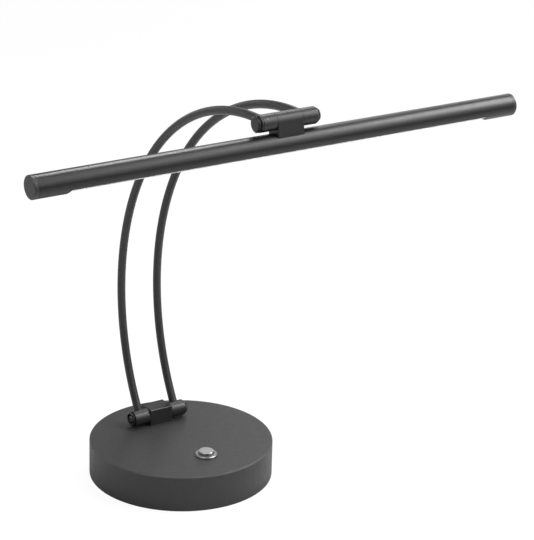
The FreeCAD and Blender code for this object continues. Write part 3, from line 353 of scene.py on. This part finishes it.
def moulding(look):
    material = newMaterial(look["name"])
    place = addNode(material, "ShaderNodeTexCoord").outputs["Object"]
    grain = addNode(material, "ShaderNodeTexNoise", {
        "Vector": place, "Scale": 1 / (look["grain"] * mm), "Detail": 3.0, "Roughness": noise["fineShare"]})
    soft, corner = softEdge(material, look)
    bump = addNode(material, "ShaderNodeBump", {
        "Height": grain.outputs[0], "Distance": look["depth"] * mm, "Normal": soft})
    even = addNode(material, "ShaderNodeMapRange", {
        "Value": grain.outputs[0], "From Min": noise["low"], "From Max": noise["high"]})
    # corners take their painted edge tone, a highlight except on the white LED board
    layers = [(even.outputs[0], look["high"]), (corner, look["rim"])]
    rough = addNode(material, "ShaderNodeMapRange", {
        "Value": grain.outputs[0], "From Min": noise["low"], "From Max": noise["high"],
        "To Min": look["roughness"] - waver["moulding"], "To Max": look["roughness"] + waver["moulding"]})
    shader = addNode(material, "ShaderNodeBsdfPrincipled", {
        "Base Color": layerTones(material, look["low"], layers), "Roughness": rough.outputs[0],
        "IOR": look["ior"], "Normal": bump.outputs[0]})
    return finishMaterial(material, shader.outputs[0])


def bareMetal(look):
    material = newMaterial(look["name"])
    place = addNode(material, "ShaderNodeTexCoord").outputs["Object"]
    drawn = addNode(material, "ShaderNodeMapping", {"Vector": place, "Scale": look["stretch"]})
    lines = addNode(material, "ShaderNodeTexNoise", {
        "Vector": drawn.outputs[0], "Scale": 1 / (look["pitch"] * mm), "Detail": 4.0,
        "Roughness": noise["fineShare"]})
    cloud = addNode(material, "ShaderNodeTexNoise", {
        "Vector": place, "Scale": 1 / (metalCloud * mm), "Detail": 2.0})
    soft, corner = softEdge(material, look)
    bump = addNode(material, "ShaderNodeBump", {
        "Height": lines.outputs[0], "Distance": look["depth"] * mm, "Normal": soft})
    even = addNode(material, "ShaderNodeMapRange", {
        "Value": lines.outputs[0], "From Min": noise["low"], "From Max": noise["high"]})
    # corners take the high tone as a painted highlight
    layers = [(even.outputs[0], look["high"]), (corner, look["high"])]
    rough = addNode(material, "ShaderNodeMapRange", {
        "Value": cloud.outputs[0], "From Min": noise["low"], "From Max": noise["high"],
        "To Min": look["roughness"] - waver["metal"], "To Max": look["roughness"] + waver["metal"]})
    shader = addNode(material, "ShaderNodeBsdfPrincipled", {
        "Base Color": layerTones(material, look["low"], layers), "Roughness": rough.outputs[0],
        "Metallic": 1.0, "Normal": bump.outputs[0]})
    return finishMaterial(material, shader.outputs[0])


capLook = {"low": "#9f9f9f", "high": "#c0c0c0", "pitch": 0.22, "depth": 0.003, "roughness": 0.38,
           "edge": 0.3}


def satinCap(look):
    # stainless steel faced on a lathe: fine rings round the button's own axis, and a painted highlight on
    # the edges
    material = newMaterial("facedStainlessSteel")
    low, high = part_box("button_cap")
    toAxis = [-(a + b) / 2 for a, b in zip(low, high)]
    place = addNode(material, "ShaderNodeTexCoord").outputs["Object"]
    own = addNode(material, "ShaderNodeMapping", {"Vector": place, "Location": toAxis})
    across = addNode(material, "ShaderNodeVectorMath", {
        0: own.outputs[0], 1: (1, 1, 0)}, operation="MULTIPLY")       # height doesn't count
    radius = addNode(material, "ShaderNodeVectorMath", {0: across.outputs[0]}, operation="LENGTH")
    step = addNode(material, "ShaderNodeMath", {
        0: radius.outputs["Value"], 1: 1 / (look["pitch"] * mm)}, operation="MULTIPLY")
    rings = addNode(material, "ShaderNodeTexNoise", {
        "W": step.outputs[0], "Scale": 1.0, "Detail": 2.0}, noise_dimensions="1D")
    soft, corner = softEdge(material, look)
    bump = addNode(material, "ShaderNodeBump", {
        "Height": rings.outputs[0], "Distance": look["depth"] * mm, "Normal": soft})
    # corners take the high tone as a painted highlight
    layers = [(rings.outputs[0], look["high"]), (corner, look["high"])]
    shader = addNode(material, "ShaderNodeBsdfPrincipled", {
        "Base Color": layerTones(material, look["low"], layers), "Metallic": 1.0,
        "Roughness": look["roughness"], "Normal": bump.outputs[0]})
    return finishMaterial(material, shader.outputs[0])


boardLook = {"mask": "#0d3a1f", "copper": "#1a5a33", "track": 2.5, "depth": 0.006, "roughness": 0.3,
             "ior": 1.55, "waviness": 0.5,
             "weave": 3.1416}        # drawn coarser than the real 0.5 mm threads, so that it can show
waveTurn = 20                        # radians that a Wave texture turns in one unit of its scale


def circuitBoard(look):
    # glass cloth in epoxy under green solder mask: copper areas show a shade lighter, the weave barely
    material = newMaterial("solderMaskOnGlassEpoxy")
    place = addNode(material, "ShaderNodeTexCoord").outputs["Object"]
    cloth = addNode(material, "ShaderNodeTexWave", {
        "Vector": place, "Scale": 2 * math.pi / (waveTurn * look["weave"] * mm),
        "Distortion": look["waviness"]})
    copper = addNode(material, "ShaderNodeTexVoronoi", {
        "Vector": place, "Scale": 1 / (look["track"] * mm)}, distance="CHEBYCHEV")
    bump = addNode(material, "ShaderNodeBump", {"Height": cloth.outputs[0], "Distance": look["depth"] * mm})
    colour = layerTones(material, look["mask"], [(copper.outputs["Distance"], look["copper"])])
    shader = addNode(material, "ShaderNodeBsdfPrincipled", {
        "Base Color": colour, "Roughness": look["roughness"], "IOR": look["ior"],
        "Normal": bump.outputs[0]})
    return finishMaterial(material, shader.outputs[0])


opalLook = {"low": "#ececea", "high": "#f7f7f5", "lines": 0.8, "stretch": (0.02, 1.0, 1.0),
            "depth": 0.001, "roughness": 0.40, "ior": 1.49, "milkiness": 0.6, "depthOfGlow": 2.0,
            "glowColours": (1.0, 1.0, 1.0)}      # red, green and blue go equally deep


def opalAcrylic(look):
    # extruded opal acrylic: milky through its depth, satin skin with faint lines along the extrusion
    material = newMaterial("extrudedOpalAcrylic")
    place = addNode(material, "ShaderNodeTexCoord").outputs["Object"]
    drawn = addNode(material, "ShaderNodeMapping", {"Vector": place, "Scale": look["stretch"]})
    lines = addNode(material, "ShaderNodeTexNoise", {
        "Vector": drawn.outputs[0], "Scale": 1 / (look["lines"] * mm), "Detail": 2.0})
    bump = addNode(material, "ShaderNodeBump", {"Height": lines.outputs[0], "Distance": look["depth"] * mm})
    colour = layerTones(material, look["low"], [(lines.outputs[0], look["high"])])
    shader = addNode(material, "ShaderNodeBsdfPrincipled", {
        "Base Color": colour, "Roughness": look["roughness"], "IOR": look["ior"],
        "Subsurface Weight": look["milkiness"], "Subsurface Radius": look["glowColours"],
        "Subsurface Scale": look["depthOfGlow"] * mm, "Normal": bump.outputs[0]})
    return finishMaterial(material, shader.outputs[0])


finishes = {slot: powderCoat(look) for slot, look in coats.items()}
finishes.update({slot: moulding(look) for slot, look in mouldings.items()})
finishes.update({slot: bareMetal(look) for slot, look in metals.items()})
finishes["button_steel"] = satinCap(capLook)
finishes["board_laminate"] = circuitBoard(boardLook)
finishes["opal_plastic"] = opalAcrylic(opalLook)
for name, node in nodes.items():
    node.data.materials.clear()
    node.data.materials.append(finishes[slotOf[name]])
print("finishes set on", len(nodes), "pieces")
